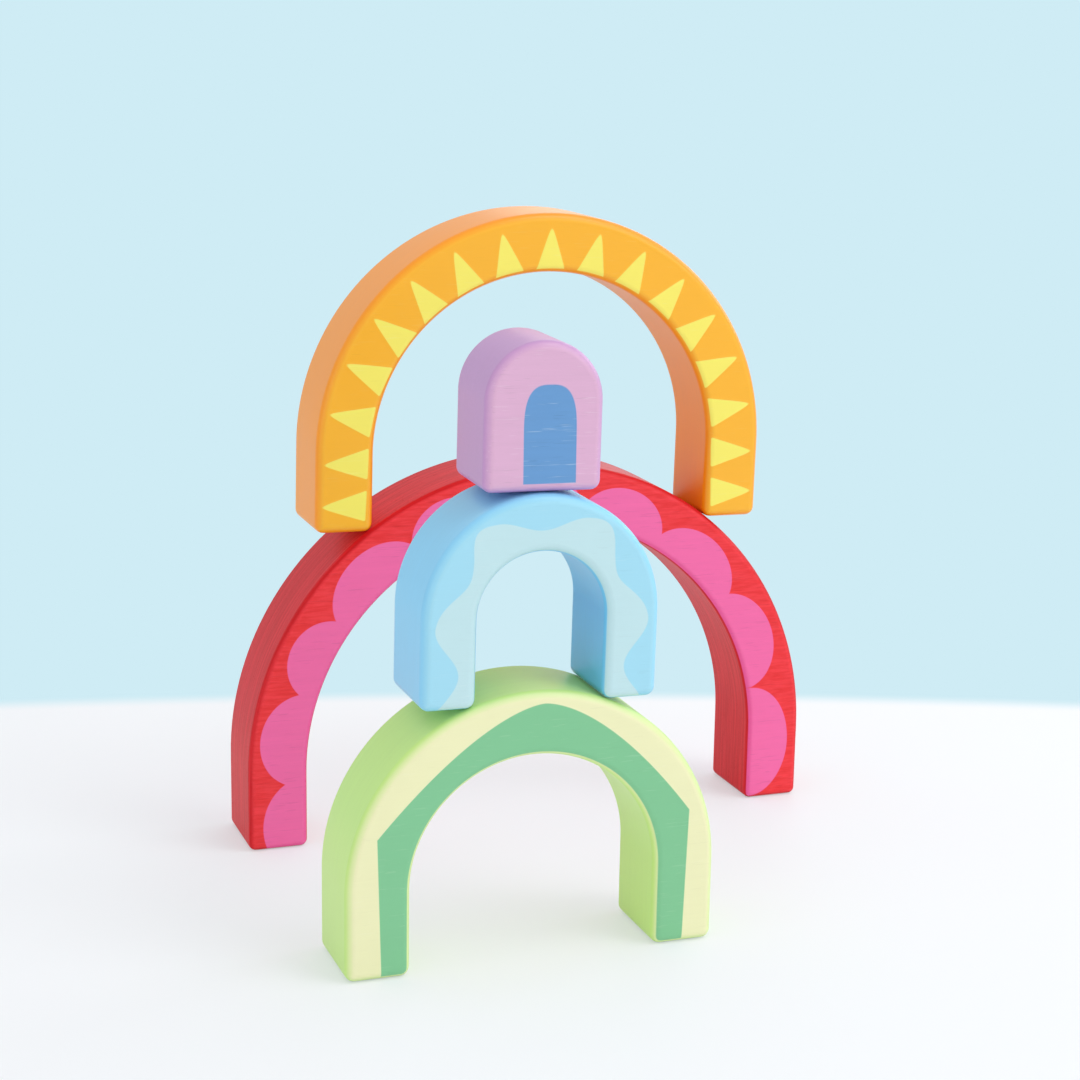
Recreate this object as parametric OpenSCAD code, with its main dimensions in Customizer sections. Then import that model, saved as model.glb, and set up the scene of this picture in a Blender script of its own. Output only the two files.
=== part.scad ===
// A rainbow stacker: five loose wooden arches that nest as a rainbow, here stacked in two short towers.
// The red arch carries the orange one. In front, the green arch carries the blue one and the lilac block.

/* [Arches] */
// Width of the red arch over its outer sides
red_width = 220; // [200:1:260]
// Thickness of the red arch between its outer and inner curves
red_band = 21.8; // [16:0.1:24]
// Thickness of the orange arch between its outer and inner curves
orange_band = 21.2; // [16:0.1:24]
// Thickness of the green arch between its outer and inner curves
green_band = 21.3; // [16:0.1:24]
// Thickness of the blue arch between its outer and inner curves
blue_band = 18.3; // [14:0.1:20]
// Room between one arch and the next when the set is nested as a rainbow
nest_gap = 2; // [0.8:0.1:3]

/* [Stock] */
// Depth of the board that every piece is cut from
stock_depth = 33.4; // [26:0.1:42]
// Height of the straight legs below the half-round top
leg_height = 28.3; // [18:0.1:44]
// Rounding of the edges and foot corners of the painted pieces
paint_round = 3.2; // [1:0.1:4.5]
// Rounding of the edges and foot corners of the red arch, which is only stained
stain_round = 2.6; // [0.8:0.1:4.5]

/* [Stacking] */
// Distance from the middle of the back tower to the middle of the front tower
tower_spacing = 124; // [60:1:180]
// How far the front tower stands to the left of the back tower
tower_shift = 44.3; // [0:0.1:46]
// How far the orange arch leans to the right on the red one, in degrees
orange_lean = 1; // [-5:0.1:5]
// How far the blue arch leans to the right on the green one, in degrees
blue_lean = 0.8; // [-5:0.1:5]
// How far the lilac block is turned on the blue arch, in degrees
lilac_turn = -1.5; // [-20:0.5:20]
// How far the lilac block sits behind the middle of the blue arch
lilac_set_back = 2.4; // [0:0.1:6]
// Room between a stacked piece and the curve that it rests on
seat_gap = 0.3; // [0.1:0.05:0.6]

/* [Hidden] */
$fn = 96;

// Outer radius of each half-round top, each one nesting inside the last
red_radius = red_width / 2;
orange_radius = red_radius - red_band - nest_gap;
green_radius = orange_radius - orange_band - nest_gap;
blue_radius = green_radius - green_band - nest_gap;
lilac_radius = blue_radius - blue_band - nest_gap;

back_row = tower_spacing / 2;
front_row = -tower_spacing / 2;

// Height of a straddling arch's feet above the centre of the curve below,
// where the rounded inner corners of both feet meet that curve
function straddle(lower_radius, inner_radius) =
    sqrt(pow(lower_radius + paint_round + seat_gap, 2) - pow(inner_radius + paint_round, 2)) - paint_round;

// A quarter disc of an edge's rounding, in the corner between +X and +Y
module quarter_disc(rounding) {
    intersection() {
        circle(r = rounding);
        square(2 * rounding);
    }
}

// Section through a piece, centred, with all four corners rounded
module section(width, rounding) {
    inner_width = width - 2 * rounding;
    inner_depth = stock_depth - 2 * rounding;
    square([inner_width, stock_depth], center = true);
    square([width, inner_depth], center = true);
    for (x = [0, 1], y = [0, 1])
        mirror([x, 0])
            mirror([0, y])
                translate([inner_width / 2, inner_depth / 2])
                    quarter_disc(rounding);
}

// Rounded end of a leg, from the floor to the height of the edge rounding
module foot(width, rounding) {
    inner_width = width - 2 * rounding;
    inner_depth = stock_depth - 2 * rounding;
    translate([-inner_width / 2, -inner_depth / 2, 0])
        cube([inner_width, inner_depth, rounding]);
    for (side = [0, 1])
        mirror([side, 0, 0])
            translate([inner_width / 2, inner_depth / 2, rounding])
                rotate([90, 0, 0])
                    linear_extrude(inner_depth)
                        mirror([0, 1])
                            quarter_disc(rounding);
    for (face = [0, 1])
        mirror([0, face, 0])
            translate([-inner_width / 2, inner_depth / 2, rounding])
                rotate([90, 0, 90])
                    linear_extrude(inner_width)
                        mirror([0, 1])
                            quarter_disc(rounding);
    for (side = [0, 1], face = [0, 1])
        mirror([side, 0, 0])
            mirror([0, face, 0])
                translate([inner_width / 2, inner_depth / 2, rounding])
                    rotate_extrude(angle = 90)
                        mirror([0, 1])
                            quarter_disc(rounding);
}

// Straight leg with its rounded foot, standing on the floor
module leg(width, rounding) {
    translate([0, 0, rounding])
        linear_extrude(leg_height - rounding)
            section(width, rounding);
    foot(width, rounding);
}

// One arch standing on the floor, with its faces square to Y
module arch(radius, band, rounding) {
    translate([0, 0, leg_height])
        rotate([90, 0, 0])
            rotate_extrude(angle = 180)
                translate([radius - band / 2, 0])
                    section(band, rounding);
    for (side = [-1, 1])
        translate([side * (radius - band / 2), 0, 0])
            leg(band, rounding);
}

// The solid middle of the rainbow, standing on the floor
module middle_block(radius, rounding) {
    translate([0, 0, leg_height])
        rotate([90, 0, 0])
            rotate_extrude(angle = 180)
                intersection() {
                    section(2 * radius, rounding);
                    translate([0, -stock_depth])
                        square([2 * radius, 2 * stock_depth]);
                }
    leg(2 * radius, rounding);
}

// Sets a piece on the curve of the arch below, leaning about that curve's centre
module on_curve(lean, height) {
    translate([0, 0, leg_height])
        rotate([0, lean, 0])
            translate([0, 0, height])
                children();
}

module back_tower() {
    translate([0, back_row, 0])
        children();
}

module front_tower() {
    translate([-tower_shift, front_row, 0])
        children();
}

module on_green() {
    front_tower()
        on_curve(blue_lean, straddle(green_radius, blue_radius - blue_band))
            children();
}

module red_arch() {
    color([0.87, 0.24, 0.26])
        back_tower()
            arch(red_radius, red_band, stain_round);
}

module orange_arch() {
    color([1.0, 0.62, 0.18])
        back_tower()
            on_curve(orange_lean, straddle(red_radius, orange_radius - orange_band))
                arch(orange_radius, orange_band, paint_round);
}

module green_arch() {
    color([0.75, 0.87, 0.57])
        front_tower()
            arch(green_radius, green_band, paint_round);
}

module blue_arch() {
    color([0.62, 0.85, 0.95])
        on_green()
            arch(blue_radius, blue_band, paint_round);
}

module lilac_block() {
    color([0.86, 0.70, 0.85])
        on_green()
            translate([0, lilac_set_back, leg_height + blue_radius + seat_gap])
                rotate([0, 0, lilac_turn])
                    middle_block(lilac_radius, paint_round);
}

red_arch();
orange_arch();
green_arch();
blue_arch();
lilac_block();
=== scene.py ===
# Rainbow stacker: five loose wooden arches with printed borders, stacked in two towers.
# The pieces are modelled at the frame's places and finished as stained and painted wood.
from math import pi, radians, sqrt

import bpy
from mathutils import Euler, Matrix, Quaternion, Vector


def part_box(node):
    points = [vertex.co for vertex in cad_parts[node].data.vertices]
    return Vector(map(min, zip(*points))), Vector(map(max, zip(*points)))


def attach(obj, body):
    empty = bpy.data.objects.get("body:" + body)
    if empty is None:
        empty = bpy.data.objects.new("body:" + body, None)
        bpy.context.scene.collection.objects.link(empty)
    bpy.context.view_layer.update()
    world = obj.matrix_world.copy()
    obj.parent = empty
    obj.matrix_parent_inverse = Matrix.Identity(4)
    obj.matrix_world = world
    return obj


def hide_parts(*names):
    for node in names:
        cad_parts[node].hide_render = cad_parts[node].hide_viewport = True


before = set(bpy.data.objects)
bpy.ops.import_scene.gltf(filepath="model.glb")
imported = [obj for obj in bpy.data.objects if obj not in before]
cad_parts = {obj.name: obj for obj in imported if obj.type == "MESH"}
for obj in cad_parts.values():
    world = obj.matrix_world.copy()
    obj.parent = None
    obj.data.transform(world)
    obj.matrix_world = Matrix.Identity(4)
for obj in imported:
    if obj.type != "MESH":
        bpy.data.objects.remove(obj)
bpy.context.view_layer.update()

# Sizes are in millimetres, and the scene is in metres
MM = 0.001


# Sizes of the set, the red and green arches' taken from the frame
def node_box(node):
    low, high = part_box(node)
    return low / MM, high / MM


red_low, red_high = node_box("red_arch")
green_low, green_high = node_box("green_arch")

STOCK_DEPTH = red_high.y - red_low.y
RED_RADIUS = (red_high.x - red_low.x) / 2
LEG_HEIGHT = red_high.z - RED_RADIUS

# How far the flat faces lie before and behind a piece's middle
FACE = STOCK_DEPTH / 2

# Thickness of each arch between its curves, room between nested arches, and rounding of edges
RED_BAND = 21.8
ORANGE_BAND = 21.2
GREEN_BAND = 21.3
BLUE_BAND = 18.3
NEST_GAP = 2
PAINT_ROUND = 3.2
STAIN_ROUND = 2.6

ORANGE_RADIUS = RED_RADIUS - RED_BAND - NEST_GAP
GREEN_RADIUS = (green_high.x - green_low.x) / 2
BLUE_RADIUS = GREEN_RADIUS - GREEN_BAND - NEST_GAP
LILAC_RADIUS = BLUE_RADIUS - BLUE_BAND - NEST_GAP

# How the pieces sit on each other
SEAT_GAP = 0.3
ORANGE_LEAN = radians(1)
BLUE_LEAN = radians(0.8)
LILAC_TURN = radians(-1.5)
LILAC_SET_BACK = 2.4

# How finely curves are cut up, and how close points are that become one
ARC_STEPS = 96
ROUND_STEPS = 6
SMOOTH_ANGLE = radians(40)
MERGE_DISTANCE = 0.001

# The upward part of a face's normal is below this where the face looks down
LOOKS_DOWN = -0.99


# Places of the pieces, from their own frame on the floor to the set's, in millimetres
def shift(x, y, z):
    return Matrix.Translation((x, y, z))


def standing(low, high):
    return shift((low.x + high.x) / 2, (low.y + high.y) / 2, low.z)


def on_curve(below, lean, height):
    return below @ shift(0, 0, LEG_HEIGHT) @ Matrix.Rotation(lean, 4, "Y") @ shift(0, 0, height)


def straddle(lower_radius, inner_radius):
    reach = lower_radius + PAINT_ROUND + SEAT_GAP
    return sqrt(reach ** 2 - (inner_radius + PAINT_ROUND) ** 2) - PAINT_ROUND


red_place = standing(red_low, red_high)
orange_place = on_curve(red_place, ORANGE_LEAN, straddle(RED_RADIUS, ORANGE_RADIUS - ORANGE_BAND))
green_place = standing(green_low, green_high)
blue_place = on_curve(green_place, BLUE_LEAN, straddle(GREEN_RADIUS, BLUE_RADIUS - BLUE_BAND))
lilac_place = (blue_place @ shift(0, LILAC_SET_BACK, LEG_HEIGHT + BLUE_RADIUS + SEAT_GAP)
               @ Matrix.Rotation(LILAC_TURN, 4, "Z"))


# Modelling
def edit_all():
    bpy.ops.object.mode_set(mode="EDIT")
    bpy.ops.mesh.select_mode(type="FACE")
    bpy.ops.mesh.select_all(action="SELECT")


def close_and_turn_out():
    bpy.ops.mesh.select_all(action="SELECT")
    bpy.ops.mesh.remove_doubles(threshold=MERGE_DISTANCE * MM)
    bpy.ops.mesh.normals_make_consistent(inside=False)
    bpy.ops.object.mode_set(mode="OBJECT")


def extrude(x, y, z):
    bpy.ops.mesh.extrude_region_move(TRANSFORM_OT_translate={"value": (x * MM, y * MM, z * MM)})


def apply_modifier(piece, name, kind, **settings):
    modifier = piece.modifiers.new(name, kind)
    for key, value in settings.items():
        setattr(modifier, key, value)
    bpy.ops.object.modifier_apply(modifier=modifier.name)


def round_edges(piece, rounding):
    apply_modifier(piece, "edge_rounding", "BEVEL", width=rounding * MM, segments=ROUND_STEPS,
                   limit_method="ANGLE", angle_limit=SMOOTH_ANGLE)
    bpy.ops.object.shade_smooth_by_angle(angle=SMOOTH_ANGLE)
    apply_modifier(piece, "flat_faces", "WEIGHTED_NORMAL", keep_sharp=True)


def put_in_place(piece, place):
    move = place.copy()
    move.translation = place.translation * MM
    piece.matrix_world = move
    bpy.ops.object.transform_apply(location=True, rotation=True, scale=True)


def arch(name, radius, band, rounding, place):
    """One foot drawn as a plane, pulled up into a leg, swept over the top and pulled down again."""
    bpy.ops.object.select_all(action="DESELECT")
    bpy.ops.mesh.primitive_plane_add(size=1)
    piece = bpy.context.object
    piece.name = piece.data.name = name
    piece.scale = (band * MM, STOCK_DEPTH * MM, 1)
    piece.location = (-(radius - band / 2) * MM, 0, 0)
    bpy.ops.object.transform_apply(location=True, rotation=True, scale=True)
    edit_all()
    extrude(0, 0, LEG_HEIGHT)
    bpy.ops.mesh.spin(steps=ARC_STEPS, angle=-pi, center=(0, 0, LEG_HEIGHT * MM), axis=(0, 1, 0))
    extrude(0, 0, -LEG_HEIGHT)
    close_and_turn_out()
    round_edges(piece, rounding)
    put_in_place(piece, place)
    return piece


def middle_block(name, radius, rounding, place):
    """A lying round bar, cut in half lengthways and pulled down into a block with a round top."""
    bpy.ops.object.select_all(action="DESELECT")
    bpy.ops.mesh.primitive_cylinder_add(vertices=2 * ARC_STEPS, radius=radius * MM,
                                        depth=STOCK_DEPTH * MM, location=(0, 0, LEG_HEIGHT * MM),
                                        rotation=(pi / 2, 0, 0))
    piece = bpy.context.object
    piece.name = piece.data.name = name
    bpy.ops.object.transform_apply(location=True, rotation=True, scale=True)
    edit_all()
    bpy.ops.mesh.bisect(plane_co=(0, 0, LEG_HEIGHT * MM), plane_no=(0, 0, 1),
                        use_fill=True, clear_inner=True)
    bpy.ops.mesh.select_all(action="DESELECT")
    bpy.ops.object.mode_set(mode="OBJECT")
    for face in piece.data.polygons:
        face.select = face.normal.z < LOOKS_DOWN
    bpy.ops.object.mode_set(mode="EDIT")
    extrude(0, 0, -LEG_HEIGHT)
    close_and_turn_out()
    round_edges(piece, rounding)
    put_in_place(piece, place)
    return piece


# Shader maths
class Value:
    """A socket in a node tree. Arithmetic on it adds Math nodes to that tree."""

    def __init__(self, nodes, socket):
        self.nodes = nodes
        self.socket = socket

    def math(self, operation, *others):
        return self.nodes.math(operation, self, *others)

    def __add__(self, other):
        return self.nodes.math("ADD", self, other)

    def __radd__(self, other):
        return self.nodes.math("ADD", other, self)

    def __sub__(self, other):
        return self.nodes.math("SUBTRACT", self, other)

    def __rsub__(self, other):
        return self.nodes.math("SUBTRACT", other, self)

    def __mul__(self, other):
        return self.nodes.math("MULTIPLY", self, other)

    def __rmul__(self, other):
        return self.nodes.math("MULTIPLY", other, self)

    def __truediv__(self, other):
        return self.nodes.math("DIVIDE", self, other)

    def __rtruediv__(self, other):
        return self.nodes.math("DIVIDE", other, self)

    def __pow__(self, other):
        return self.nodes.math("POWER", self, other)

    def __neg__(self):
        return self.nodes.math("MULTIPLY", self, -1)

    def __abs__(self):
        return self.nodes.math("ABSOLUTE", self)

    def least(self, other):
        return self.nodes.math("MINIMUM", self, other)

    def most(self, other):
        return self.nodes.math("MAXIMUM", self, other)

    def fade(self, start, end):
        """0 up to start, 1 from end on, and smooth between. Start may be the larger."""
        return self.nodes.node("ShaderNodeMapRange", {"interpolation_type": "SMOOTHSTEP"},
                               {"Value": self, "From Min": start, "From Max": end})


class Nodes:
    """A node tree that one method adds any node to."""

    def __init__(self, tree):
        self.tree = tree

    def node(self, kind, settings=None, inputs=None, output=0):
        made = self.tree.nodes.new(kind)
        for key, value in (settings or {}).items():
            setattr(made, key, value)
        for key, value in (inputs or {}).items():
            self.plug(made.inputs[key], value)
        return Value(self, made.outputs[output])

    def plug(self, socket, value):
        if isinstance(value, Value):
            self.tree.links.new(value.socket, socket)
        else:
            socket.default_value = value

    def math(self, operation, *values):
        return self.node("ShaderNodeMath", {"operation": operation}, dict(enumerate(values)))

    def seen(self):
        """1 where it is seen, also in a gloss or through glass, and 0 where it gives light."""
        camera_ray = self.node("ShaderNodeLightPath", output="Is Camera Ray")
        glossy_ray = self.node("ShaderNodeLightPath", output="Is Glossy Ray")
        clear_ray = self.node("ShaderNodeLightPath", output="Is Transmission Ray")
        return camera_ray.most(glossy_ray).most(clear_ray)


class Finish(Nodes):
    """A material's nodes, with its piece's own millimetres as coordinates."""

    def __init__(self, name, place):
        self.material = bpy.data.materials.new(name)
        self.material.use_nodes = True
        super().__init__(self.material.node_tree)
        self.shader = self.tree.nodes["Principled BSDF"]
        coordinates = self.node("ShaderNodeTexCoord", output="Object")
        self.local = self.node("ShaderNodeMapping", {"vector_type": "TEXTURE"},
                               {"Vector": coordinates, "Location": place.translation * MM,
                                "Rotation": place.to_euler(), "Scale": (MM, MM, MM)})
        self.x, self.y, self.z = (
            self.node("ShaderNodeSeparateXYZ", {}, {"Vector": self.local}, output=axis)
            for axis in "XYZ")

    def mix(self, share, colour, other):
        """Colour where share is 0, and other where it is 1."""
        return self.node("ShaderNodeMix", {"data_type": "RGBA"},
                         {0: share, 6: colour, 7: other}, output=2)

    def shade(self, colour, strength):
        """Colour times strength."""
        grey = self.node("ShaderNodeCombineColor", {},
                         {"Red": strength, "Green": strength, "Blue": strength})
        return self.node("ShaderNodeMix", {"data_type": "RGBA", "blend_type": "MULTIPLY"},
                         {0: 1.0, 6: colour, 7: grey}, output=2)

    def point(self, x, y, z):
        return self.node("ShaderNodeCombineXYZ", {}, {"X": x, "Y": y, "Z": z})

    def noise(self, stretch, detail=2.0, roughness=0.5, warp=0.0, at=None):
        """Noise from 0 to 1 with this many waves to the millimetre along x, y and z."""
        place = at or self.local
        scaled = self.node("ShaderNodeVectorMath", {"operation": "MULTIPLY"},
                           {0: place, 1: stretch})
        return self.node("ShaderNodeTexNoise", {},
                         {"Vector": scaled, "Scale": 1.0, "Detail": detail,
                          "Roughness": roughness, "Distortion": warp})

    def surface(self, colour, roughness, height=None, relief=0.1, **constants):
        """Feeds the shader. Height is in millimetres."""
        self.plug(self.shader.inputs["Base Color"], colour)
        self.plug(self.shader.inputs["Roughness"], roughness)
        if height is not None:
            bump = self.node("ShaderNodeBump", {},
                             {"Height": height, "Distance": MM, "Strength": relief})
            self.plug(self.shader.inputs["Normal"], bump)
        for key, value in constants.items():
            self.shader.inputs[key.replace("_", " ")].default_value = value
        return self.material


def srgb(red, green, blue):
    """A colour as a paint chart gives it, from 0 to 255, made linear."""
    def linear(part):
        part /= 255
        return part / 12.92 if part <= 0.04045 else ((part + 0.055) / 1.055) ** 2.4
    return (linear(red), linear(green), linear(blue), 1.0)


# Coordinates along an arch
def along_and_out(finish, inner_radius, path_radius):
    """How far a point is along the arch, right of the crown, and out from the inner edge."""
    above = (finish.z - LEG_HEIGHT).most(0)
    down_leg = (LEG_HEIGHT - finish.z).most(0)
    angle = finish.x.math("ARCTAN2", above)
    along = angle * path_radius + finish.x.math("SIGN") * down_leg
    out = (finish.x * finish.x + above * above) ** 0.5 - inner_radius
    return along, out


def on_face(finish, drop, soft=0.15):
    """1 on the flat faces and on their edge rounding down to this drop below the face."""
    return abs(finish.y).fade(FACE - drop - soft, FACE - drop + soft)


# Half the width of a print's soft edge
EDGE_SOFT = 0.16


def inside(distance):
    """1 where a signed distance in millimetres is below 0, with a printed edge."""
    return distance.fade(EDGE_SOFT, -EDGE_SOFT)


# Shares of a rounding that the distances to its flats add up to, near a flat and halfway round
EDGE_START_SHARE, EDGE_MIDDLE_SHARE = 0.8, 0.6


def on_edges(finish, to_side, rounding):
    """1 along the middle of the rounded edges and feet, and 0 on the flats."""
    to_face = FACE - abs(finish.y)
    nearest = (to_face + to_side).least(to_face + finish.z).least(to_side + finish.z)
    return nearest.fade(EDGE_START_SHARE * rounding, EDGE_MIDDLE_SHARE * rounding)


# The value that noise lies round
NOISE_MIDDLE = 0.5


# Wood under the finish
def fibres(finish):
    """Fine fibres that lie along the board."""
    return finish.noise((0.05, 0.7, 0.95), detail=3.0, roughness=0.6, warp=0.15)


def hairlines(finish, amount, fineness=1.0):
    """Short open pores along the board, 1 in a pore. A higher amount gives more of them."""
    patchiness = 0.16
    pore_start, pore_full = 0.68 - amount, 0.78 - amount
    dashes = finish.noise((0.13, 1.4 * fineness, 1.9 * fineness), detail=1.0, roughness=0.35)
    patches = finish.noise((0.03, 0.05, 0.05), detail=1.0)
    return (dashes + patchiness * (patches - NOISE_MIDDLE)).fade(pore_start, pore_full)


def sanding_streaks(finish, along, out):
    """Streaks that sanding leaves along the sides of an arch."""
    unrolled = finish.point(along, finish.y, out)
    return finish.noise((0.03, 0.75, 0.1), detail=4.0, roughness=0.62, warp=0.25, at=unrolled)


# Prints
def scallops(along, out):
    """Half-round scallops that stand on the inner edge: middle, half width and height of each."""
    row = ((-158.5, 19, 16.8), (-126.5, 17.6, 18.5), (-96.8, 15.5, 17.2), (-64.7, 20.2, 17.8),
           (-33, 15.8, 17.8), (0.5, 17.5, 17.5), (32, 17.5, 17.2), (66.3, 19.8, 16.6),
           (101.5, 20, 16.5), (143.8, 22.3, 17))
    nearest = None
    for middle, half_width, height in row:
        across = (along - middle) / half_width
        up = out / height
        distance = ((across * across + up * up) ** 0.5 - 1) * height
        nearest = distance if nearest is None else nearest.least(distance)
    return nearest


def triangles(finish, inner_radius):
    """Triangles that point outwards, evenly set along a line just outside the inner edge."""
    line_out = 2
    spacing = 15.32
    last = 8
    base, tip, half_base = 1.0, 19.3, 5.75
    corner, blunt = 1.2, 0.8
    left_of_middle, below_middle = 0.4, 1.1
    stretch, leg_flare = 1.0125, 0.04
    line_radius = inner_radius + line_out
    quarter = line_radius * pi / 2
    above = finish.z - (LEG_HEIGHT - below_middle)
    side = abs(finish.x + left_of_middle) / stretch - (-above).most(0) * leg_flare
    along = side.math("ARCTAN2", above.most(0)) * line_radius + (-above).most(0)
    number = (along / spacing).math("ROUND").least(last)
    turn = (number * (spacing / line_radius)).least(pi / 2)
    raised = above + (number * spacing - quarter).most(0)
    turn_sine, turn_cosine = turn.math("SINE"), turn.math("COSINE")
    sideways = side * turn_cosine - raised * turn_sine
    across = (sideways * sideways + blunt ** 2) ** 0.5
    out = side * turn_sine + raised * turn_cosine - inner_radius
    height = tip - base
    slant = sqrt(height ** 2 + half_base ** 2)
    flank = (across * height + (out - base) * half_base - half_base * height) / slant
    foot = base - out
    return flank.math("SMOOTH_MAX", foot, corner)


def gable_band(finish):
    """A band whose outside is a pair of straight walls under a bowed gable."""
    wall_foot, wall_flare = 51.75, 0.03
    ridge, bow, bow_power = 87.4, 0.07, 1.6
    wall_top, ridge_shift = 50, 0.06
    right_of_middle = 0.2
    height_to_distance = 0.75
    wall = abs(finish.x - right_of_middle) - wall_foot - finish.z * wall_flare
    across = abs(finish.x - (finish.z - wall_top) * ridge_shift)
    roof = (finish.z - ridge + across ** bow_power * bow) * height_to_distance
    return wall.most(roof)


def wave_band(finish, inner_radius):
    """A band with a wavy outside, with a shallow dip at the crown between full shoulders."""
    line_radius = 27.6
    half_wave = 15.1
    middle, swing = 10.3, 3.9
    crown_fill, crown_reach = 0.8, 9
    crown_left, left_until, left_end = 0.8, 12, 26
    shoulder, shoulder_fill, shoulder_reach = 18.5, 1.4, 6
    height_to_distance = 0.8
    along, out = along_and_out(finish, inner_radius, line_radius)
    wave_along = along + crown_left * abs(along).fade(left_end, left_until)
    edge = middle - swing * (wave_along * (pi / half_wave)).math("COSINE")
    edge = edge + crown_fill * abs(wave_along).fade(crown_reach, 0)
    edge = edge + shoulder_fill * abs(abs(wave_along) - shoulder).fade(shoulder_reach, 0)
    return (out - edge) * height_to_distance


def round_topped_panel(finish):
    """An upright panel with a full round top, leaning a little."""
    centre, half_width, lean = 1.9, 8.65, -0.016
    foot, spring, rise = 2.9, 18.7, 15.4
    fullness = 2.9
    across = abs(finish.x - centre - finish.z * lean) / half_width
    up = ((finish.z - spring) / rise).most(0)
    body = ((across ** fullness + up ** fullness) ** (1 / fullness) - 1) * half_width
    return body.most(foot - finish.z)


# Finishes
def red_stain():
    """Stain that the wood shows through, with painted shade on the rounded edges, and pink scallops
    on the faces.
    """
    deep_side, bright_side = srgb(206, 8, 20), srgb(226, 34, 44)
    deep_face, bright_face = srgb(236, 49, 54), srgb(248, 65, 74)
    # The edge colours of the red and of the pink are darker, as painted shade on the rounded edges
    edge_red_shade, edge_red_shade_share = srgb(196, 12, 26), 0.12
    face_pink, edge_pink_shade, edge_pink_shade_share = srgb(247, 110, 172), srgb(236, 66, 148), 0.4
    finish = Finish("red_stain", red_place)
    inner_radius = RED_RADIUS - RED_BAND
    along, out = along_and_out(finish, inner_radius, inner_radius)
    flat = on_face(finish, drop=0.5, soft=0.4)
    # Mask of the rounded edges, where the shade is painted
    edge = on_edges(finish, out.least(RED_BAND - out), STAIN_ROUND)
    printed = inside(scallops(along, out)) * on_face(finish, drop=1.0)
    fibre = fibres(finish)
    hairline = hairlines(finish, amount=0.03)
    streak = sanding_streaks(finish, along, out)
    mottle = finish.noise((0.12, 0.8, 1.0), detail=4.0, roughness=0.65)
    side = finish.mix(streak.fade(0.38, 0.68), deep_side, bright_side)
    face = finish.mix(mottle.fade(0.3, 0.7), deep_face, bright_face)
    # Painted shade: the rounded edges mixed a little towards darker red, and the pink towards
    # darker pink
    red = finish.mix(edge_red_shade_share * edge, finish.mix(flat, side, face), edge_red_shade)
    pink = finish.mix(edge_pink_shade_share * edge, face_pink, edge_pink_shade)
    tone = 1.05 - 0.10 * fibre - 0.09 * hairline
    colour = finish.shade(finish.mix(printed, red, pink), tone)
    roughness = 0.38 + 0.08 * fibre + 0.06 * streak + 0.10 * hairline - 0.04 * printed
    height = 0.025 * fibre + 0.02 * streak - 0.05 * hairline + 0.015 * printed
    return finish.surface(colour, roughness, height, relief=0.5, Specular_IOR_Level=0.22)


def paler(colour, share):
    """A paint chart's colour with this share of white in it."""
    return tuple(part + share * (255 - part) for part in colour)


def painted(finish, along, out, to_side, print_distance, drop, side, edge, face, print_colour,
            shaded_inner_side=None, grain=0.3):
    """Satin paint on sanded wood, with painted shade in fuller colour on the rounded edges and the
    inner sides, and a border on the faces.
    """
    # Painted shade on the inner sides between the legs: full up to the first distance from the
    # inner edge, gone at the second
    inner_shade_full_until, inner_shade_gone_at = 3, 6
    # Share of the darker edge colour, painted shade on the rounded edges
    edge_shade_share = 0.35
    pore_share, pore_amount = 0.45 * grain, 0.02 * grain
    paler_face, paler_print = 0.35, 0.5
    shadow_fineness = 1.23
    flat = on_face(finish, drop=1.0, soft=0.9)
    # Mask of the rounded edges, where the shade is painted
    shaded_rim = on_edges(finish, to_side, PAINT_ROUND)
    printed = inside(print_distance) * on_face(finish, drop)
    fibre = fibres(finish)
    hairline = hairlines(finish, pore_amount)
    shadow_line = hairlines(finish, pore_amount, shadow_fineness)
    streak = sanding_streaks(finish, along, out)
    cloud = finish.noise((0.05, 0.05, 0.05), detail=2.0)
    peel = finish.noise((1.1, 1.1, 1.1), detail=1.0)
    # Painted shade: the inner sides take a darker, fuller side colour
    clear_of_inner_shade = out.fade(inner_shade_full_until, inner_shade_gone_at)
    side_with_inner_shade = finish.mix(clear_of_inner_shade, srgb(*(shaded_inner_side or side)), srgb(*side))
    colour = finish.mix(flat, side_with_inner_shade, srgb(*face))
    # Painted shade: the rounded edges mixed towards the fuller, darker edge colour
    colour = finish.mix(edge_shade_share * shaded_rim, colour, srgb(*edge))
    colour = finish.mix(printed, colour, srgb(*print_colour))
    pale = finish.mix(printed, srgb(*paler(face, paler_face)),
                      srgb(*paler(print_colour, paler_print)))
    colour = finish.mix(pore_share * hairline * flat, colour, pale)
    tone = 1.0 + 0.04 * (cloud - NOISE_MIDDLE) + 0.08 * (1 - flat) * (streak - NOISE_MIDDLE)
    tone = tone + grain * (0.05 - 0.10 * fibre - 0.10 * shadow_line * flat)
    colour = finish.shade(colour, tone)
    roughness = 0.30 + 0.06 * cloud + 0.05 * printed + 0.06 * (1 - flat) * streak
    height = 0.010 * peel + 0.010 * streak + grain * (0.03 * fibre - 0.03 * hairline)
    height = height + 0.02 * printed
    return finish.surface(colour, roughness, height, relief=0.4, Specular_IOR_Level=0.45)


def orange_paint():
    finish = Finish("orange_paint", orange_place)
    inner_radius = ORANGE_RADIUS - ORANGE_BAND
    along, out = along_and_out(finish, inner_radius, inner_radius)
    # The edge and inner side colours are painted shade
    return painted(finish, along, out, to_side=out.least(ORANGE_BAND - out),
                   print_distance=triangles(finish, inner_radius), drop=0.6,
                   side=(255, 156, 18), edge=(252, 150, 8), face=(255, 184, 42),
                   print_colour=(252, 238, 104), shaded_inner_side=(250, 146, 4))


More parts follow.
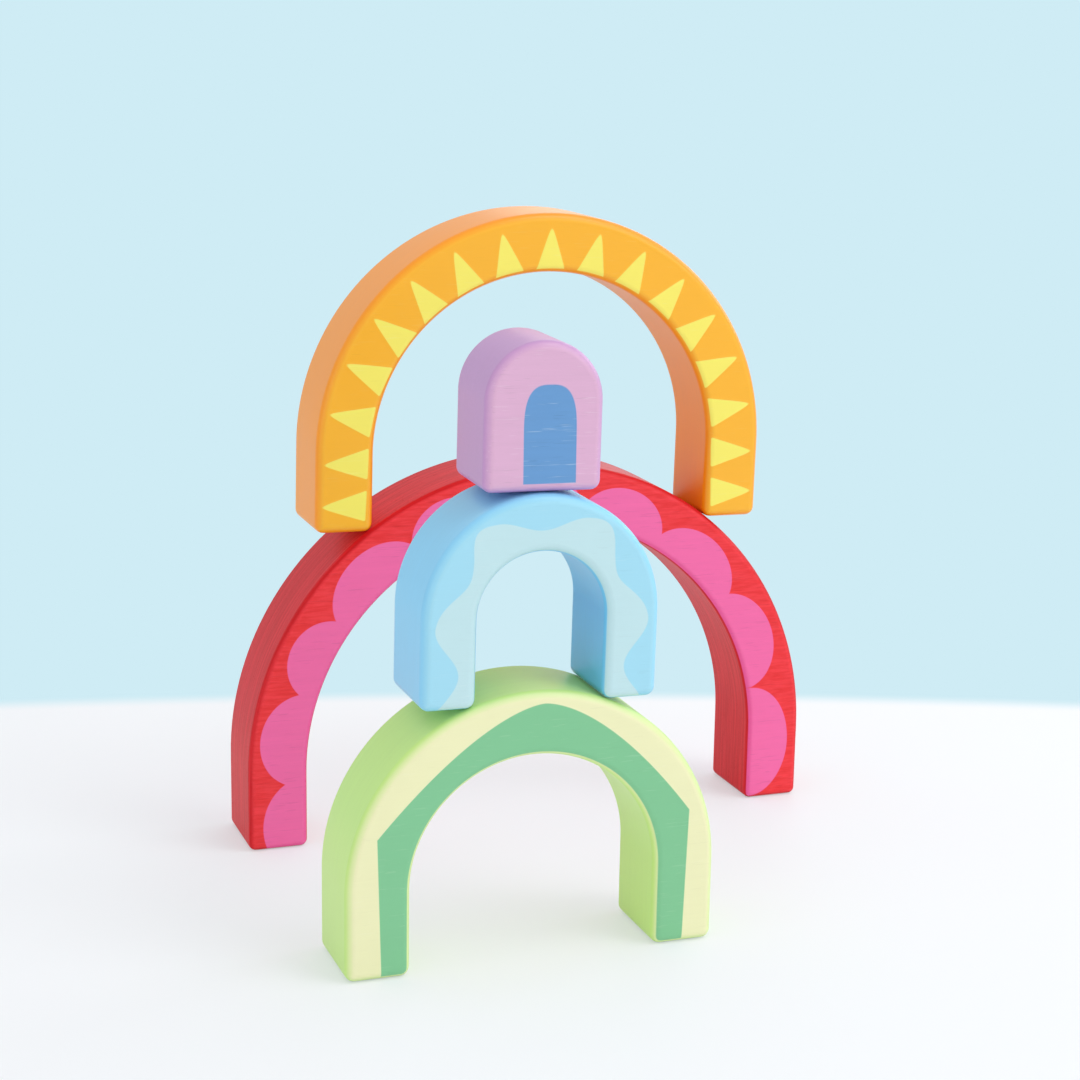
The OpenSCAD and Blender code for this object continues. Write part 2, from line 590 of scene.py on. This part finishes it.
def green_paint():
    finish = Finish("green_paint", green_place)
    inner_radius = GREEN_RADIUS - GREEN_BAND
    along, out = along_and_out(finish, inner_radius, inner_radius)
    # The edge colour is painted shade
    return painted(finish, along, out, to_side=out.least(GREEN_BAND - out),
                   print_distance=gable_band(finish), drop=0.65,
                   side=(199, 236, 134), edge=(216, 240, 158), face=(240, 240, 192),
                   print_colour=(128, 199, 149))


def blue_paint():
    finish = Finish("blue_paint", blue_place)
    inner_radius = BLUE_RADIUS - BLUE_BAND
    along, out = along_and_out(finish, inner_radius, inner_radius)
    # The edge and inner side colours are painted shade
    return painted(finish, along, out, to_side=out.least(BLUE_BAND - out),
                   print_distance=wave_band(finish, inner_radius), drop=1.4,
                   side=(141, 210, 247), edge=(140, 214, 246), face=(163, 221, 242),
                   print_colour=(194, 228, 234), shaded_inner_side=(112, 200, 244))


def lilac_paint():
    finish = Finish("lilac_paint", lilac_place)
    along, out = along_and_out(finish, 0, LILAC_RADIUS)
    # The edge colour is painted shade
    return painted(finish, along, out, to_side=LILAC_RADIUS - out,
                   print_distance=round_topped_panel(finish), drop=0.8,
                   side=(198, 149, 200), edge=(206, 156, 206), face=(222, 176, 208),
                   print_colour=(101, 154, 208), grain=1.0)


# Pieces
def finish_piece(piece, node, material):
    piece.data.materials.clear()
    piece.data.materials.append(material)
    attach(piece, node)
    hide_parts(node)


finish_piece(arch("red_arch_wood", RED_RADIUS, RED_BAND, STAIN_ROUND, red_place),
             "red_arch", red_stain())
finish_piece(arch("orange_arch_wood", ORANGE_RADIUS, ORANGE_BAND, PAINT_ROUND, orange_place),
             "orange_arch", orange_paint())
finish_piece(arch("green_arch_wood", GREEN_RADIUS, GREEN_BAND, PAINT_ROUND, green_place),
             "green_arch", green_paint())
finish_piece(arch("blue_arch_wood", BLUE_RADIUS, BLUE_BAND, PAINT_ROUND, blue_place),
             "blue_arch", blue_paint())
finish_piece(middle_block("lilac_block_wood", LILAC_RADIUS, PAINT_ROUND, lilac_place),
             "lilac_block", lilac_paint())


# Floor, in millimetres: white within a ring round a point in front, and the backdrop's blue beyond
BACKDROP = srgb(207, 236, 245)
FLOOR_WHITE = srgb(243, 247, 251)
FLOOR_RADIUS = 12000
WHITE_MIDDLE = (-520, -1720, 0)
WHITE_END, BLUE_START = 1994, 2014
# How much of the white floor's colour is its own and takes no shadow
OWN_LIGHT = 0.45


def floor():
    """White at the object and pale blue beyond, partly lit by itself so that shadows stay light."""
    bpy.ops.object.select_all(action="DESELECT")
    bpy.ops.mesh.primitive_circle_add(vertices=ARC_STEPS, radius=FLOOR_RADIUS * MM,
                                      fill_type="NGON")
    ground = bpy.context.object
    ground.name = ground.data.name = "floor"
    finish = Finish("pale_floor", shift(*WHITE_MIDDLE))
    out = (finish.x * finish.x + finish.y * finish.y) ** 0.5
    far = out.fade(WHITE_END, BLUE_START)
    colour = finish.mix(far, FLOOR_WHITE, BACKDROP)
    finish.surface(colour, roughness=0.5, Specular_IOR_Level=0.05)
    lit = Value(finish, finish.shader.outputs["BSDF"])
    glow = finish.node("ShaderNodeEmission", {}, {"Color": colour})
    share = finish.seen() * (OWN_LIGHT + (1 - OWN_LIGHT) * far)
    both = finish.node("ShaderNodeMixShader", {}, {0: share, 1: lit, 2: glow})
    finish.plug(finish.tree.nodes["Material Output"].inputs["Surface"], both)
    ground.data.materials.append(finish.material)


floor()


# Light, in metres and watts
LIGHT_AIM = Vector((0, 0, 0.1))
EVEN_LIGHT = srgb(254, 251, 250)
EVEN_STRENGTH = 0.775


def softbox(name, position, size, power):
    lamp = bpy.data.lights.new(name, "AREA")
    lamp.shape = "DISK"
    lamp.size = size
    lamp.energy = power
    box = bpy.data.objects.new(name, lamp)
    box.location = position
    box.rotation_euler = (LIGHT_AIM - Vector(position)).to_track_quat("-Z", "Y").to_euler()
    bpy.context.scene.collection.objects.link(box)


def sky(light, strength, backdrop):
    """Even light from all round, which has the backdrop's colour where it is seen."""
    world = bpy.data.worlds.new("pale_studio")
    world.use_nodes = True
    studio = Nodes(world.node_tree)
    studio.tree.nodes.remove(studio.tree.nodes["Background"])
    even = studio.node("ShaderNodeBackground", {}, {"Color": light, "Strength": strength})
    shown = studio.node("ShaderNodeBackground", {}, {"Color": backdrop, "Strength": 1.0})
    both = studio.node("ShaderNodeMixShader", {}, {0: studio.seen(), 1: even, 2: shown})
    studio.plug(studio.tree.nodes["World Output"].inputs["Surface"], both)
    bpy.context.scene.world = world


sky(EVEN_LIGHT, EVEN_STRENGTH, BACKDROP)
softbox("key_softbox", (2.2, -2.2, 2.05), size=2.6, power=26)
softbox("top_softbox", (0.75, -0.5, 1.9), size=0.9, power=7)
softbox("left_softbox", (-2.2, -0.7, 0.5), size=1.6, power=4)
softbox("right_softbox", (2.1, 0.4, 0.9), size=1.1, power=7)
softbox("back_softbox", (1.35, 1.8, 0.95), size=1.8, power=8)


# Camera, in millimetres, degrees and pixels, placed by matching outlines to the photograph
IMAGE_SIDE = 1080
SENSOR = 36
CAMERA_AT = Vector((-285.4, -738.8, 304))
CAMERA_YAW = radians(20.027)
CAMERA_PITCH = radians(-13.076)
CAMERA_ROLL = radians(0.988)
FOCAL_PIXELS = 2315.8
VIEW_LIMIT = 100000


def camera():
    lens = bpy.data.cameras.new("camera")
    lens.sensor_width = SENSOR
    lens.lens = FOCAL_PIXELS / IMAGE_SIDE * SENSOR
    lens.clip_end = VIEW_LIMIT * MM
    viewer = bpy.data.objects.new("camera", lens)
    viewer.location = CAMERA_AT * MM
    aim = Euler((pi / 2 + CAMERA_PITCH, 0, -CAMERA_YAW)).to_quaternion()
    viewer.rotation_mode = "QUATERNION"
    viewer.rotation_quaternion = aim @ Quaternion((0, 0, 1), CAMERA_ROLL)
    bpy.context.scene.collection.objects.link(viewer)
    bpy.context.scene.camera = viewer


camera()
bpy.context.scene.view_settings.view_transform = "Standard"
